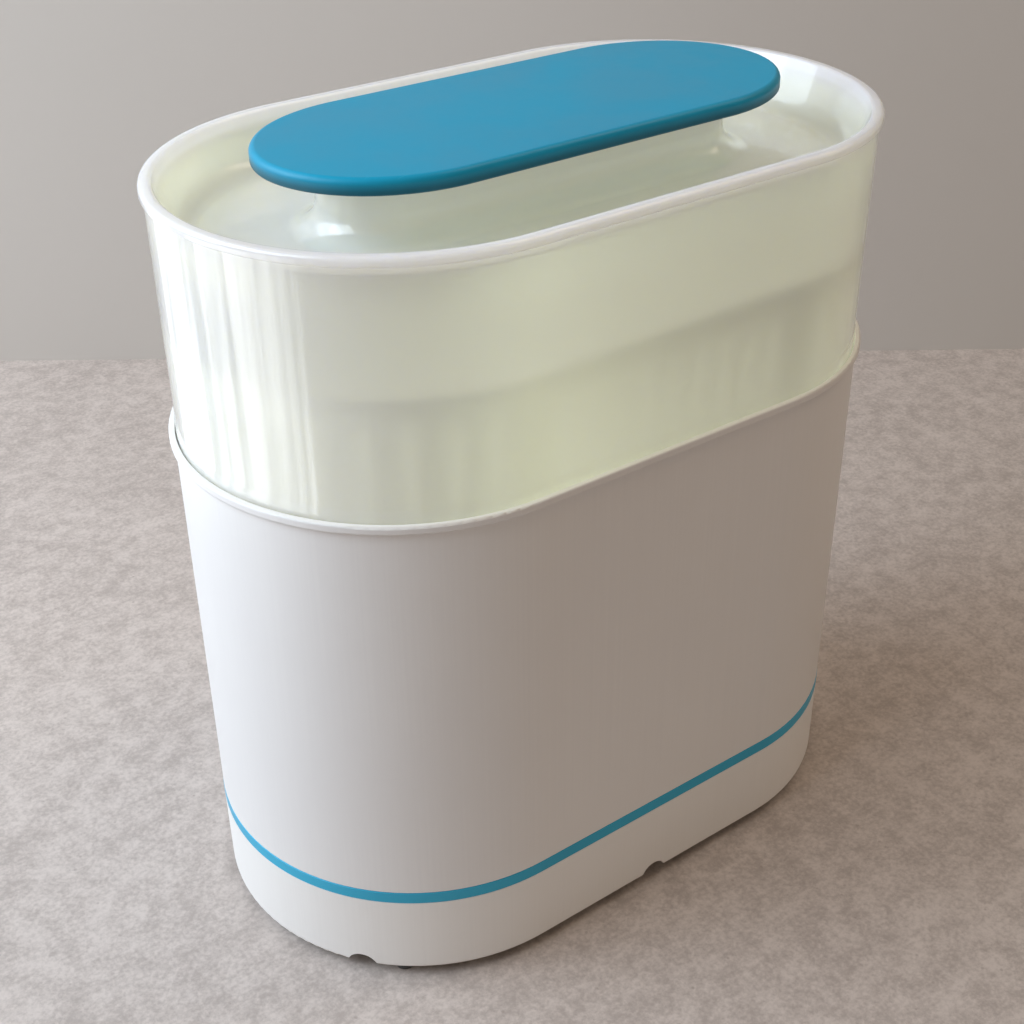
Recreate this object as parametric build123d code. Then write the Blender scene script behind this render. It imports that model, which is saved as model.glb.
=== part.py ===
from build123d import *
from math import cos, radians, sin, sqrt, tan
import os

# Electric steam sterilizer for feeding bottles. Millimetres, +Z up, the table at z = 0.
# The plan is a long capsule: X is its length, the on/off button faces -Y, the cord leaves at +Y.

# Driving sizes of the capsule plan
half_straight = 60.0  # from the middle to the centre of each round end
base_radius = 86.5  # outside of the base and of the blue band
running_gap = 0.3  # between pieces that lift off each other
merge = 0.5  # how far shapes of one piece run into each other
through = 1.0  # how far a cut runs past the face it opens

# Heights, stacked from the table
foot_lift = 4.6
base_height = 36.5
ring_height = 5.4
basket_height = 169.3
lid_height = 93.8
handle_rise = 10.0  # grip plate's top above the lid's rim

base_edge = foot_lift
ring_seat = base_edge + base_height
ring_top = ring_seat + ring_height
flange_top = ring_top + basket_height
rim_top = flange_top + lid_height
handle_top = rim_top + handle_rise

# Base shell
base_wall = 2.4
base_edge_round = 1.8
deck_drop = 2.1  # deck's top below the band's seat
deck_thickness = 2.4
spigot_height = 5.5  # above the band, inside the basket's skirt
spigot_wall = 2.2
spigot_round = 0.8
tank_fillet = 2.0
ring_thickness = 3.0
ring_edge_round = 0.4

deck_top = ring_seat - deck_drop
deck_low = deck_top - deck_thickness
spigot_top = ring_top + spigot_height
spigot_radius = base_radius - ring_thickness - running_gap
tank_radius = spigot_radius - spigot_wall
shell_inner = base_radius - base_wall

# Cord notches in the rear edge
notch_radius = 6.5
notch_sink = 1.5  # notch centre below the edge
notch_angle = 39.0  # of the notch in the round end
notch_reach = 6.0  # depth of the cut each side of the wall

# Bottom cover
trough_width = 26.1  # between the island and the shell's wall
cover_wall = 2.0
cover_floor = 6.5  # island's underside above the table
trough_ceiling = 18.0
cover_gap = 0.3
tab_place = 35.0
tab_width = 20.0
tab_length = 8.0

island_radius = shell_inner - trough_width

# Feet
foot_radius = 4.0
foot_angle = 50.0
foot_stem_radius = 2.0
foot_stem_height = 4.0
foot_depth = 2.0  # how far the pad goes up past the base's edge
foot_post = 3.6

# Screws
screw_shank = 1.6
screw_head = 3.4
screw_head_height = 2.0
screw_slack = 0.2
boss_radius = 4.0
pilot_gap = 0.05
cover_screw_length = 12.0
cover_screw_gap = 14.0  # from the island's wall to the screws' line
cover_screw_x = 45.0

cover_screw_offset = island_radius + cover_screw_gap

# Heater stack, from the dish down
dish_flange = 52.4
dish_flange_width = 8.4
dish_thickness = 1.2
dish_depth = 3.0
dish_slope = 2.2
seal_thickness = 1.5
seal_width = 5.2
seat_depth = 3.0
seat_gap = 0.2
collar_wall = 3.4
collar_height = 5.4
spreader_inset = 6.0
spreader_thickness = 3.0
element_inset = 8.0
element_radius = 3.2
element_sink = 1.7
element_arc = 300.0
pin_radius = 1.25
pin_length = 5.0
bracket_thickness = 1.5
bracket_inset = 1.0
bracket_bore_gap = 0.5
bracket_window = 21.0  # half width of the opening round the element's ends
bracket_screw_grip = 8.0
arm_start = 24.0
arm_boss = 3.6
arm_gap = 0.2  # from the screw bosses to the dish's pocket
arm_width = 9.0
arm_angles = (30.0, 150.0, 270.0)
thermostat_radius = 7.5
thermostat_flange = (10.5, 1.5)  # radius and thickness
thermostat_depth = 7.0
blade_place = 3.5
blade_width = 6.0
blade_length = 6.0
blade_thickness = 0.8
fuse_radius = 2.0
fuse_length = 12.0
fuse_wire = (0.5, 4.0)  # radius and length of each end
fuse_shift = 0.65  # towards the thermostat from the middle of the space beside it

dish_radius = dish_flange - dish_flange_width
collar_radius = dish_flange + seat_gap + collar_wall
spreader_radius = dish_radius - spreader_inset
element_ring = spreader_radius - element_inset
bracket_radius = spreader_radius - bracket_inset
arm_reach = dish_flange + seat_gap + arm_boss + arm_gap
fuse_place = fuse_shift - (element_ring - element_radius + thermostat_flange[0]) / 2
seat_low = deck_top - seat_depth
flange_low = seat_low + seal_thickness
dish_low = flange_low - dish_depth - dish_thickness
spreader_low = dish_low - spreader_thickness
element_height = spreader_low - element_radius + element_sink
bracket_top = element_height - element_radius
bracket_low = bracket_top - bracket_thickness
pin_low = element_height - element_radius - pin_length
blade_wire = bracket_top - thermostat_depth - blade_length / 2

# Front controls
button_radius = 7.0
button_gap = 0.3
button_proud = 1.0
button_travel = 1.5
button_flange = 1.2
button_lip = 0.7
button_stem = 3.0
button_hollow = 40.0  # radius of the shallow finger dish
button_hollow_depth = 0.4
plunger_radius = 1.9
plunger_gap = 0.08
plunger_spare = 0.8
board_size = (60.0, 1.6, 14.0)
board_offset = 19.7  # from the outside of the front wall to the board's front face
board_lift = 0.6
switch_width = 12.0
switch_depth = 10.2
switch_height = 10.0
switch_wall = 1.2
button_round = 0.9
relay_ends = (-24.0, -9.0)  # along the board
relay_size = (11.0, 9.0)
part_lift = 1.0  # from the board's lower edge to what stands on it
capacitor_x = 12.0
capacitor_radius = 4.0
capacitor_length = 12.0
led_radius = 2.5
led_length = 6.5
lens_radius = 2.2
lens_x = 17.0
lens_proud = 0.4
lens_flange = 1.0
lens_led_gap = 0.5
guide_size = (5.0, 6.0, 10.0)
guide_grip = 1.7  # how far a card guide reaches over the board's end
guide_gap = 0.05

ceiling_top = trough_ceiling + cover_wall
board_low = ceiling_top + board_lift
board_face = board_offset - base_radius
board_back = board_face + board_size[1]
button_height = (ceiling_top + deck_low) / 2
switch_front = board_face - switch_depth
stem_end = switch_front - button_travel - button_gap

# Cord inlet and terminal block
gland_height = (cover_floor + cover_wall + trough_ceiling) / 2
gland_radius = 3.9
gland_bore = 3.1
gland_flange = 4.6
gland_lip = 1.4
gland_gap = 0.2  # round the sleeve in the island's wall
block_size = (24.0, 10.0, 9.0)
block_from_wall = 10.0  # gap to the island's rear wall
terminal_pitch = 8.0
terminal_hole = 1.6
terminal_entry = 1.2
terminal_depth = 7.0
block_back = island_radius - cover_wall - block_from_wall
block_front = block_back - block_size[1]
wire_radius = 1.0
wire_height = cover_floor + cover_wall + 4.0

# Large basket
basket_wall = 2.4
basket_draft = 0.5  # how much the wall leans in over its height
basket_floor_gap = 2.0
basket_floor = 2.5
rim_flange = 1.7
rim_flange_height = 3.2
seat_step = 2.1  # lid's seat below the flange's top
seat_slack = 0.4
rib_reach = 4.0
rib_thickness = 2.0
rib_places = (-40.0, 0.0, 40.0)
rib_angles = (-45.0, 0.0, 45.0)
plate_drop = 12.7  # from the lid's seat down to the ribs' top
slot_width = 4.0
slot_pitch = 11.0
slot_middle = 4.0  # half of the solid strip along the middle
slot_margin = 4.0

basket_top_radius = base_radius - 0.1 - basket_draft
flange_radius = basket_top_radius + rim_flange
basket_inner = basket_top_radius - basket_wall
lid_seat = flange_top - seat_step
basket_floor_low = spigot_top + basket_floor_gap
basket_floor_top = basket_floor_low + basket_floor
plate_seat = lid_seat - plate_drop

# Lid
lid_wall = 2.2
lid_band = 0.3
lid_band_height = 7.0
lid_radius = basket_top_radius - 1.3
rim_overhang = 1.4
rim_band_height = 3.5
rim_width = 4.5
rim_round = 1.6
tray_depth = 20.6
tray_lean = 7.0
tray_fillet = 10.0
tray_edge_round = 1.4
rim_fold = 2.5  # solid corner between the tray's wall and the outer wall
pedestal_half = 67.0
pedestal_radius = 21.0
pedestal_fillet = 11.0
vent_radius = 1.8
vent_pitch = 9.0
vent_place = -50.0

rim_radius = lid_radius + rim_overhang
tray_edge = rim_radius - rim_width
tray_floor = rim_top - tray_depth
tray_radius = tray_edge - tray_lean

# Grip plate
handle_half = 57.0
handle_end = 52.0  # length of each rounded end
handle_radius = 45.2
handle_thickness = 6.0
handle_skin = 2.6
handle_wall = 2.4
handle_top_round = 2.4
handle_low_round = 1.0
handle_screw_pitch = 46.0
handle_screw_length = 4.6
handle_rib = 2.0
washer_thickness = 0.8
washer_radius = 4.2

handle_low = handle_top - handle_thickness
handle_screw_places = (-handle_screw_pitch, 0, handle_screw_pitch)

# Perforated plate and small basket
plate_gap = 1.5
plate_thickness = 2.5
plate_lip = 3.5
plate_lip_width = 1.8
plate_hole = 3.0
plate_hole_pitch = 14.0
plate_round = 0.8
tub_gap = 2.0
tub_wall = 2.0
tub_height = 58.0
tub_lean = 1.2
tub_flange = 1.8
tub_foot_height = 2.0
tub_foot_radius = 3.0
tub_foot_inset = 18.0
tub_slot_width = 4.0
tub_slot_height = 34.0
tub_slot_low = 10.0  # above the floor's underside
tub_slot_pitch = 12.0
tub_slot_turn = 10  # degrees between the slots of the round ends

plate_radius = basket_inner - plate_gap
plate_top = plate_seat + plate_thickness
tub_low_radius = plate_radius - plate_lip_width - tub_gap
tub_floor_low = plate_top + tub_foot_height
tub_top = plate_top + tub_height


standing = (Align.CENTER, Align.CENTER, Align.MIN)
hanging = (Align.CENTER, Align.CENTER, Align.MAX)


def capsule(radius, half=half_straight):
    """Flat capsule outline."""
    return SlotCenterToCenter(2 * half, 2 * radius)


def slab(radius, low, high, half=half_straight):
    """Upright capsule block between two heights."""
    return Pos(0, 0, low) * extrude(capsule(radius, half), high - low)


def section(points):
    """Closed outline of (radius, height[, fillet]) points, standing in the XZ plane."""
    flat = make_face(Polyline(*[(p[0], p[1]) for p in points], close=True))
    for p in points:
        if len(p) == 3:
            corner = flat.vertices().sort_by_distance((p[0], p[1], 0))[0]
            flat = fillet(corner, p[2])
    return Plane.XZ * flat


def around(points, half=half_straight):
    """Carries an outline round the capsule: two straight sides and two round ends."""
    outline = section(points)
    turn = revolve(outline, Axis.Z, 180)
    body = Pos(half, 0, 0) * Rot(0, 0, -90) * turn
    body += Pos(-half, 0, 0) * Rot(0, 0, 90) * turn
    for side in (90, -90):
        body += extrude(Pos(-half, 0, 0) * Rot(0, 0, side) * outline, 2 * half, dir=(1, 0, 0))
    return body


def rod(radius, start, end):
    """Round bar between two points."""
    axis = Vector(*end) - Vector(*start)
    foot = Plane(origin=start, z_dir=axis)
    return foot * Cylinder(radius, axis.length, align=standing)


def upright(radius, x, y, low, high):
    """Vertical round bar."""
    return rod(radius, (x, y, low), (x, y, high))


def block(low, high):
    """Box between two corners."""
    size = [b - a for a, b in zip(low, high)]
    return Pos(*low) * Box(*size, align=(Align.MIN, Align.MIN, Align.MIN))


def on_end(radius, angle, side=1):
    """Point at a radius and angle about one round end's centre."""
    return side * (half_straight + radius * cos(radians(angle))), radius * sin(radians(angle))


def half_width(radius, x):
    """Half width of a capsule at a place along its length."""
    past = max(abs(x) - half_straight, 0)
    return sqrt(max(radius**2 - past**2, 0))


def screw_up(x, y, seat, length):
    """Screw driven upwards, its head's upper face at the seat."""
    low = seat - screw_head_height
    head = upright(screw_head, x, y, low, seat)
    socket = upright(screw_head / 2.2, x, y, low, low + screw_head_height / 2)
    return head - socket + upright(screw_shank, x, y, seat, seat + length)


def cover_screw_places():
    """Six places: one in each round end and two along each side."""
    ends = [(side * (half_straight + cover_screw_offset), 0) for side in (-1, 1)]
    sides = [(a * cover_screw_x, b * cover_screw_offset) for a in (-1, 1) for b in (-1, 1)]
    return ends + sides


def foot_places():
    """Four feet under the round ends."""
    middle = shell_inner - cover_gap - foot_radius
    return [(on_end(middle, a, s)) for s in (-1, 1) for a in (foot_angle, -foot_angle)]


def arm_places():
    """Centres of the three heater screws."""
    return [(arm_reach * cos(radians(a)), arm_reach * sin(radians(a))) for a in arm_angles]


def base_shell():
    outer = [
        (shell_inner, base_edge),
        (base_radius, base_edge, base_edge_round),
        (base_radius, ring_seat),
        (spigot_radius, ring_seat),
        (spigot_radius, spigot_top, spigot_round),
        (tank_radius, spigot_top, spigot_round),
        (tank_radius, deck_top, tank_fillet),
        (0, deck_top),
        (0, deck_low),
        (shell_inner, deck_low),
    ]
    body = around(outer)
    collar_low = deck_top - collar_height
    body += upright(collar_radius, 0, 0, collar_low, deck_low + merge)
    body -= upright(dish_flange + seat_gap, 0, 0, seat_low, deck_top + through)
    body -= upright(dish_flange - seal_width, 0, 0, collar_low - through, deck_top)
    for x, y in cover_screw_places():
        body += upright(boss_radius, x, y, ceiling_top, deck_low + merge)
        top = trough_ceiling + cover_screw_length + through
        body -= upright(screw_shank + pilot_gap, x, y, trough_ceiling, top)
    for x, y in arm_places():
        body += upright(arm_boss, x, y, bracket_top, deck_low + merge)
        top = bracket_top + bracket_screw_grip + through
        body -= upright(screw_shank + pilot_gap, x, y, bracket_top - through, top)
    for x, y, turn in ((0, base_radius, 90), (*on_end(base_radius, notch_angle), notch_angle)):
        reach = Vector(cos(radians(turn)), sin(radians(turn))) * notch_reach
        centre = Vector(x, y, base_edge - notch_sink)
        body -= rod(notch_radius, tuple(centre - reach), tuple(centre + reach))
    wall_in = (0, through - shell_inner, button_height)
    wall_out = (0, -base_radius - through, button_height)
    body -= rod(button_radius + button_gap, wall_out, wall_in)
    body -= rod(lens_radius + pilot_gap, (lens_x, *wall_out[1:]), (lens_x, *wall_in[1:]))
    return body


def trim_ring():
    inner = base_radius - ring_thickness
    return around(
        [
            (inner, ring_seat),
            (base_radius, ring_seat, ring_edge_round),
            (base_radius, ring_top, ring_edge_round),
            (inner, ring_top),
        ]
    )


def bottom_cover():
    rim = shell_inner - cover_gap
    body = slab(rim, trough_ceiling, ceiling_top)
    body += slab(island_radius, cover_floor, ceiling_top)
    body -= slab(island_radius - cover_wall, cover_floor + cover_wall, ceiling_top + through)
    tab_height = cover_floor + cover_wall / 2
    reach = island_radius + tab_length / 2 - merge
    for side in (-1, 1):
        for x in (-tab_place, tab_place):
            tab = Box(tab_width, tab_length + merge, cover_wall)
            body += Pos(x, side * reach, tab_height) * tab
        tab = Box(tab_length + merge, tab_width, cover_wall)
        body += Pos(side * (half_straight + reach), 0, tab_height) * tab
    pad_top = base_edge + foot_depth
    for x, y in foot_places():
        body += upright(foot_post, x, y, pad_top, trough_ceiling + merge)
        top = pad_top + foot_stem_height + merge
        body -= upright(foot_stem_radius + pilot_gap, x, y, base_edge, top)
    for x, y in cover_screw_places():
        hole = screw_shank + screw_slack
        body -= upright(hole, x, y, trough_ceiling - through, ceiling_top + through)
    mouth = (0, island_radius + through, gland_height)
    inside = (0, island_radius - cover_wall - through, gland_height)
    body -= rod(gland_radius + gland_gap, inside, mouth)
    middle = (board_face + board_back) / 2
    groove = Box(2 * guide_grip, board_size[1] + 2 * guide_gap, guide_size[2], align=standing)
    for side in (-1, 1):
        x = side * (board_size[0] / 2 - guide_grip + guide_size[0] / 2)
        guide = Pos(x, middle, ceiling_top - merge) * Box(*guide_size, align=standing)
        end = Pos(side * (board_size[0] / 2 - guide_grip), middle, board_low)
        body += guide - end * groove
    return body


def rubber_feet():
    feet = []
    for x, y in foot_places():
        pad = upright(foot_radius, x, y, 0, base_edge + foot_depth)
        pad = chamfer(pad.faces().sort_by(Axis.Z)[0].edges(), 0.5)
        stem_top = base_edge + foot_depth + foot_stem_height
        feet.append(pad + upright(foot_stem_radius, x, y, base_edge + foot_depth, stem_top))
    return Part() + feet


def cover_screws():
    return Part() + [
        screw_up(x, y, trough_ceiling, cover_screw_length) for x, y in cover_screw_places()
    ]


def cord_gland():
    inside = island_radius - cover_wall
    lip_in = (0, inside - gland_lip, gland_height)
    lip_out = (0, island_radius + gland_lip, gland_height)
    sleeve = rod(gland_radius, lip_in, lip_out)
    sleeve += rod(gland_flange, lip_in, (0, inside, gland_height))
    sleeve += rod(gland_flange, (0, island_radius, gland_height), lip_out)
    return sleeve - rod(gland_bore, lip_in, lip_out)


def terminal_block():
    low = cover_floor + cover_wall
    width, depth, height = block_size
    body = block((-width / 2, block_front, low), (width / 2, block_back, low + height))
    for x in (-terminal_pitch, 0, terminal_pitch):
        screw_y = block_back - depth / 3
        body -= upright(terminal_hole, x, screw_y, low + height / 2, low + height + through)
        entry = (x, block_back + through, wire_height)
        body -= rod(terminal_entry, entry, (x, block_back - terminal_depth, wire_height))
    return body


def heating_plate():
    high = flange_low + dish_thickness
    low = dish_low
    points = [
        (0, low),
        (dish_radius - dish_slope / 2, low, 1.0),
        (dish_radius + dish_slope / 2, flange_low, 0.8),
        (dish_flange, flange_low),
        (dish_flange, high),
        (dish_radius, high, 1.5),
        (dish_radius - dish_slope, low + dish_thickness, 1.5),
        (0, low + dish_thickness),
    ]
    return revolve(section(points), Axis.Z, 360)


def heater_seal():
    ring = upright(dish_flange, 0, 0, seat_low, flange_low)
    return ring - upright(dish_flange - seal_width, 0, 0, seat_low, flange_low)


def element_path(radius):
    """Ring of the tubular element, open at the back."""
    start = 90 + (360 - element_arc) / 2
    face = Plane.XZ * Pos(element_ring, element_height) * Circle(radius)
    return Rot(0, 0, start) * revolve(face, Axis.Z, element_arc)


def heat_spreader():
    disc = upright(spreader_radius, 0, 0, spreader_low, dish_low)
    groove = Plane.XZ * Pos(element_ring, element_height) * Circle(element_radius + pilot_gap)
    return disc - revolve(groove, Axis.Z, 360)


def element_ends():
    half_gap = (360 - element_arc) / 2
    angles = (90 - half_gap, 90 + half_gap)
    return [(element_ring * cos(radians(a)), element_ring * sin(radians(a))) for a in angles]


def heating_element():
    body = element_path(element_radius)
    for x, y in element_ends():
        body += Pos(x, y, element_height) * Sphere(element_radius)
        body += upright(pin_radius, x, y, pin_low, element_height)
    return body


def heater_bracket():
    body = upright(bracket_radius, 0, 0, bracket_low, bracket_top)
    for angle, place in zip(arm_angles, arm_places()):
        arm = Pos((arm_start + arm_reach) / 2, 0, (bracket_low + bracket_top) / 2)
        body += Rot(0, 0, angle) * arm * Box(arm_reach - arm_start, arm_width, bracket_thickness)
        body += upright(arm_width / 2, *place, bracket_low, bracket_top)
    cut_low = bracket_low - through
    cut_high = bracket_top + through
    body -= upright(thermostat_radius + bracket_bore_gap, 0, 0, cut_low, cut_high)
    window_edge = element_ends()[0][1] - element_radius - boss_radius
    window_corner = (bracket_window, bracket_radius + through, cut_high)
    body -= block((-bracket_window, window_edge, cut_low), window_corner)
    for x, y in arm_places():
        body -= upright(screw_shank + screw_slack, x, y, cut_low, cut_high)
    return body


def bracket_screws():
    length = bracket_thickness + bracket_screw_grip
    return Part() + [screw_up(x, y, bracket_low, length) for x, y in arm_places()]


def thermostat():
    shoulder = bracket_top + thermostat_flange[1]
    body = upright(thermostat_radius, 0, 0, bracket_top - thermostat_depth, spreader_low)
    body += upright(thermostat_flange[0], 0, 0, bracket_top, shoulder)
    blade_top = bracket_top - thermostat_depth + merge
    for side in (-1, 1):
        middle = Pos(side * blade_place, 0, blade_top)
        blade = Box(blade_thickness, blade_width, blade_length + merge, align=hanging)
        body += middle * blade
    return body


def thermal_fuse():
    height = bracket_top + fuse_radius
    half = fuse_length / 2
    tip = half + fuse_wire[1]
    body = rod(fuse_radius, (-half, fuse_place, height), (half, fuse_place, height))
    return body + rod(fuse_wire[0], (-tip, fuse_place, height), (tip, fuse_place, height))


def control_board():
    length, _, height = board_size
    return block((-length / 2, board_face, board_low), (length / 2, board_back, board_low + height))


def power_switch():
    half = switch_width / 2
    low = button_height - switch_height / 2
    body = block((-half, switch_front, low), (half, board_face, low + switch_height))
    bore_end = (0, board_face - switch_wall, button_height)
    bore_start = (0, switch_front - through, button_height)
    return body - rod(plunger_radius + plunger_gap, bore_start, bore_end)


def relay():
    low = board_low + part_lift
    depth, height = relay_size
    case = block((relay_ends[0], board_back, low), (relay_ends[1], board_back + depth, low + height))
    return fillet(case.edges(), 0.6)


def filter_capacitor():
    height = board_low + capacitor_radius + part_lift
    end = (capacitor_x, board_back + capacitor_length, height)
    can = rod(capacitor_radius, (capacitor_x, board_back, height), end)
    return fillet(can.faces().sort_by(Axis.Y)[-1].edges(), 0.8)


def indicator_led():
    tip = (lens_x, board_face - led_length, button_height)
    body = rod(led_radius, (lens_x, board_face, button_height), tip)
    return fillet(body.faces().sort_by(Axis.Y)[0].edges(), led_radius - 0.2)


def indicator_lens():
    outer = (lens_x, -base_radius - lens_proud, button_height)
    inner = (lens_x, board_face - led_length - lens_led_gap, button_height)
    pipe = rod(lens_radius, outer, inner)
    pipe = fillet(pipe.faces().sort_by(Axis.Y)[0].edges(), 0.5)
    back = (lens_x, lens_flange - shell_inner, button_height)
    return pipe + rod(lens_radius + lens_flange, (lens_x, -shell_inner, button_height), back)


def power_button():
    face = -base_radius - button_proud
    back = button_gap - shell_inner
    cap = rod(button_radius, (0, face, button_height), (0, back, button_height))
    cap = fillet(cap.faces().sort_by(Axis.Y)[0].edges(), button_round)
    hollow_y = face - button_hollow + button_hollow_depth
    cap -= Pos(0, hollow_y, button_height) * Sphere(button_hollow)
    lip_end = (0, back + button_flange, button_height)
    cap += rod(button_radius + button_lip, (0, back, button_height), lip_end)
    return cap + rod(button_stem, (0, back, button_height), (0, stem_end, button_height))


def switch_plunger():
    tip = board_face - switch_wall - button_travel - plunger_spare
    return rod(plunger_radius, (0, stem_end, button_height), (0, tip, button_height))


def wire(points):
    """Insulated lead along straight runs with tangent arcs, square to what it meets."""
    corners = [Vector(*p) for p in points]
    radii = []
    for a, b, c in zip(corners, corners[1:], corners[2:]):
        turn = radians((b - a).get_angle(c - b))
        shorter = min((b - a).length, (c - b).length)
        radii.append(0.45 * shorter / tan(turn / 2))
    print("lead radii", [round(r, 1) for r in radii])
    path = FilletPolyline(*points, radius=radii)
    face = Plane(origin=points[0], z_dir=corners[1] - corners[0]) * Circle(wire_radius)
    return sweep(face, path=path)


def lead_neutral():
    x, y = element_ends()[1]
    out = -terminal_pitch
    route = [(out, block_front, wire_height), (out, block_front - 6, wire_height)]
    return wire(route + [(x, y, wire_height - 1.0), (x, y, pin_low)])


def lead_live():
    side = block_size[0] / 2
    y = block_back - block_size[1] / 2
    z = button_height - 2
    return wire(
        [
            (side, y, wire_height),
            (side + 11, y, wire_height),
            (side + 18, y - 14, wire_height - 1),
            (side + 17, y - 42, wire_height - 1.5),
            (side + 14, y - 70, wire_height),
            (side + 14, board_back + 21, wire_height + 4.5),
            (side + 13, board_back + 8, z),
            (side + 13, board_back, z),
        ]
    )


def lead_thermostat():
    z = button_height - 2
    x = relay_ends[0] - 2.3
    blade = -blade_place - blade_thickness / 2
    return wire(
        [
            (x, board_back, z),
            (x, board_back + 8, z),
            (x - 1, board_back + 18, z - 6),
            (x + 3, board_back + 34, wire_height + 1),
            (x + 13, -11, wire_height - 1),
            (blade - 5, 0, blade_wire),
            (blade, 0, blade_wire),
        ]
    )


def lead_heater():
    x, y = element_ends()[0]
    blade = blade_place + blade_thickness / 2
    low = wire_height - 1
    start = [(blade, 0, blade_wire), (blade + 5, 0, blade_wire), (blade + 9, 9, low)]
    return wire(start + [(x, y, low), (x, y, pin_low)])


def basket_ribs():
    """Upright ribs inside the large basket, which also carry the perforated plate."""
    inner = basket_inner - rib_reach
    outer = basket_inner + basket_wall / 2
    low = basket_floor_top - merge
    rib = block((inner, -rib_thickness / 2, low), (outer, rib_thickness / 2, plate_seat))
    ribs = [Pos(x, 0, 0) * Rot(0, 0, side) * rib for x in rib_places for side in (90, -90)]
    for angle in rib_angles:
        ribs.append(Pos(half_straight, 0, 0) * Rot(0, 0, angle) * rib)
        ribs.append(Pos(-half_straight, 0, 0) * Rot(0, 0, 180 + angle) * rib)
    return ribs


def floor_slots(radius, low, high):
    """Rows of steam slots across a floor, shorter towards the round ends."""
    count = int((half_straight + radius) / slot_pitch)
    slots = []
    for i in range(-count, count + 1):
        x = i * slot_pitch
        length = half_width(radius, x) - slot_middle - slot_margin
        if length > 4 * slot_width:
            slot = extrude(SlotOverall(length, slot_width, rotation=90), high - low + 2 * through)
            for side in (-1, 1):
                slots.append(Pos(x, side * (slot_middle + length / 2), low - through) * slot)
    return slots


def large_basket():
    foot_radius_out = basket_top_radius + basket_draft
    skirt = foot_radius_out - basket_wall
    body = around(
        [
            (skirt, ring_top),
            (foot_radius_out, ring_top, 0.5),
            (basket_top_radius, flange_top - rim_flange_height),
            (flange_radius, flange_top - rim_flange_height, 0.7),
            (flange_radius, flange_top, 0.8),
            (lid_radius + lid_band + seat_slack, flange_top, 0.3),
            (lid_radius + lid_band + seat_slack, lid_seat),
            (basket_inner, lid_seat, 0.4),
            (skirt, basket_floor_top, 2.0),
            (0, basket_floor_top),
            (0, basket_floor_low),
            (skirt, basket_floor_low),
        ]
    )
    body += basket_ribs()
    return body - floor_slots(basket_inner - rib_reach, basket_floor_low, basket_floor_top)


def divider_plate():
    lip_inner = plate_radius - plate_lip_width
    body = around(
        [
            (0, plate_seat),
            (plate_radius, plate_seat, plate_round),
            (plate_radius, plate_top + plate_lip, 0.6),
            (lip_inner, plate_top + plate_lip, 0.6),
            (lip_inner, plate_top, plate_round),
            (0, plate_top),
        ]
    )
    holes = []
    field = lip_inner - tub_gap - 2 * plate_hole
    rows = int(field / plate_hole_pitch)
    columns = int((half_straight + field) / plate_hole_pitch)
    for j in range(-rows, rows + 1):
        y = j * plate_hole_pitch
        for i in range(-columns, columns + 1):
            x = (i + j % 2 / 2) * plate_hole_pitch
            past = max(abs(x) - half_straight, 0)
            if sqrt(past**2 + y**2) < field:
                holes.append(upright(plate_hole, x, y, plate_seat - through, plate_top + through))
    return body - holes


def small_basket():
    top_radius = tub_low_radius + tub_lean
    body = around(
        [
            (0, tub_floor_low),
            (tub_low_radius, tub_floor_low, 3.0),
            (top_radius, tub_top - tub_wall),
            (top_radius + tub_flange, tub_top - tub_wall, 0.5),
            (top_radius + tub_flange, tub_top, 0.8),
            (top_radius - tub_wall, tub_top, 0.8),
            (tub_low_radius - tub_wall, tub_floor_low + tub_wall, 1.5),
            (0, tub_floor_low + tub_wall),
        ]
    )
    low = tub_floor_low + tub_slot_low
    wall = (tub_low_radius - 2 * tub_wall, top_radius + tub_wall)
    half = tub_slot_width / 2
    slot = block((wall[0], -half, low), (wall[1], half, low + tub_slot_height))
    cuts = floor_slots(tub_low_radius - 2 * tub_wall, tub_floor_low, tub_floor_low + tub_wall)
    count = int((half_straight - tub_slot_width) / tub_slot_pitch)
    for i in range(-count, count + 1):
        for side in (90, -90):
            cuts.append(Pos(i * tub_slot_pitch, 0, 0) * Rot(0, 0, side) * slot)
    for angle in range(tub_slot_turn - 90, 90, tub_slot_turn):
        cuts.append(Pos(half_straight, 0, 0) * Rot(0, 0, angle) * slot)
        cuts.append(Pos(-half_straight, 0, 0) * Rot(0, 0, 180 + angle) * slot)
    body -= cuts
    out = tub_low_radius - tub_foot_inset
    feet = [(side * (half_straight + out), 0) for side in (-1, 1)]
    feet += [(x, side * out) for x in (-half_straight, half_straight) for side in (-1, 1)]
    return body + [upright(tub_foot_radius, x, y, plate_top, tub_floor_low + merge) for x, y in feet]


def lid_tray_outline():
    """Lid wall, rim, leaning tray wall and tray floor as one thin section."""
    lean = tray_lean / tray_depth
    skew = lid_wall * sqrt(1 + lean**2)
    band = lid_radius + lid_band
    inner = lid_radius - lid_wall
    meet = rim_top - (tray_edge + skew - inner) / lean
    fold = meet - rim_fold
    fold_radius = tray_edge + skew - (rim_top - fold) * lean
    under = tray_floor - lid_wall
    return [
        (inner, lid_seat),
        (band, lid_seat, 0.5),
        (band, lid_seat + lid_band_height - lid_band),
        (lid_radius, lid_seat + lid_band_height),
        (lid_radius, rim_top - rim_band_height),
        (rim_radius, rim_top - rim_band_height, 0.5),
        (rim_radius, rim_top, rim_round),
        (tray_edge, rim_top, tray_edge_round),
        (tray_radius, tray_floor, tray_fillet),
        (0, tray_floor),
        (0, under),
        (tray_radius + skew - lid_wall * lean, under, tray_fillet + lid_wall),
        (fold_radius, fold),
        (inner, fold),
    ]


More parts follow.
